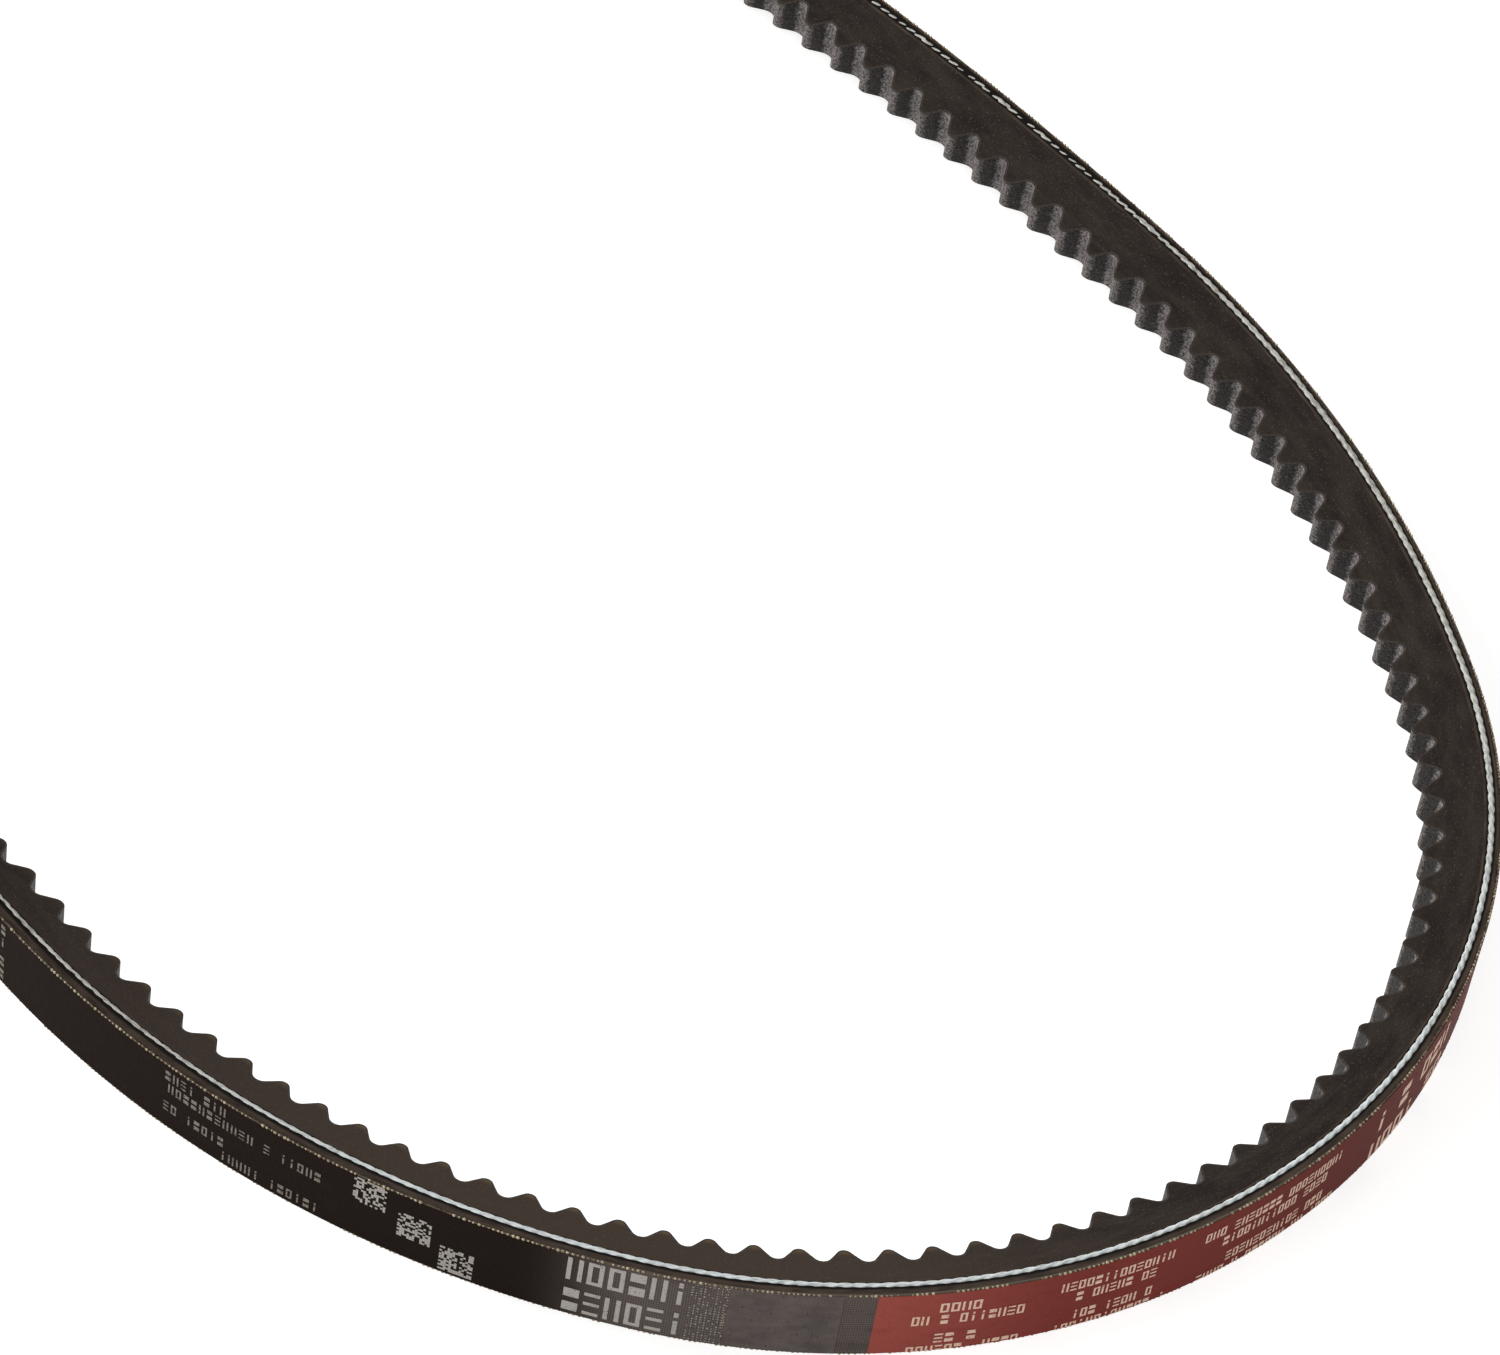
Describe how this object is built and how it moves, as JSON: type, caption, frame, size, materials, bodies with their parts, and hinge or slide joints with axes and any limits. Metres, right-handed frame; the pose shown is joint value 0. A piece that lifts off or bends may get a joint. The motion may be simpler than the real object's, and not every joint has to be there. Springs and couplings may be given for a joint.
{
  "type": "cogged v belt",
  "caption": "Endless rubber drive belt of wedge section with cogs moulded inside and raw-cut sides, lying as a relaxed oval loop.",
  "frame": {"origin": "middle of the loop, on the surface that the belt lies on", "axes": "+Z along the belt's width, upwards as it lies; +X along the long axis of the relaxed loop; +Y to the long side where the run round the back begins"},
  "size_m": [0.6442, 0.297, 0.0159],
  "materials": {
    "back_canvas": "rubber-filled woven canvas, near black, matt",
    "cord_gum": "soft black-brown adhesion gum, matt",
    "polyester_cord": "pale stretched polyester cord, cut filaments",
    "fibre_rubber": "ground raw side of fibre-loaded rubber, dark brown, matt",
    "cog_facing": "fine woven facing moulded over the cogs, dark grey",
    "red_film": "brick-red heat-transfer film, satin",
    "grey_film": "dark grey heat-transfer film, satin",
    "cream_ink": "cream printed ink",
    "grey_ink": "light grey printed ink, slightly worn"
  },
  "bodies": {
    "root": {"back_canvas": "back_canvas", "code_square_1": "grey_ink", "code_square_2": "grey_ink", "code_square_3": "grey_ink", "cog_facing_fabric": "cog_facing", "compression_rubber": "fibre_rubber", "cushion_rubber": "cord_gum", "fine_print_row_lower": "grey_ink", "fine_print_row_upper": "grey_ink", "grey_label_band": "grey_film", "hatch_patch": "grey_ink", "legend_row_lower": "cream_ink", "legend_row_upper": "cream_ink", "overcord_rubber": "cord_gum", "red_label_band": "red_film", "size_mark_row_lower": "grey_ink", "size_mark_row_upper": "grey_ink", "tensile_cord_turn_01": "polyester_cord", "tensile_cord_turn_02": "polyester_cord", "tensile_cord_turn_03": "polyester_cord", "tensile_cord_turn_04": "polyester_cord", "tensile_cord_turn_05": "polyester_cord", "tensile_cord_turn_06": "polyester_cord", "tensile_cord_turn_07": "polyester_cord", "tensile_cord_turn_08": "polyester_cord", "tensile_cord_turn_09": "polyester_cord", "tensile_cord_turn_10": "polyester_cord"}
  },
  "joints": []
}
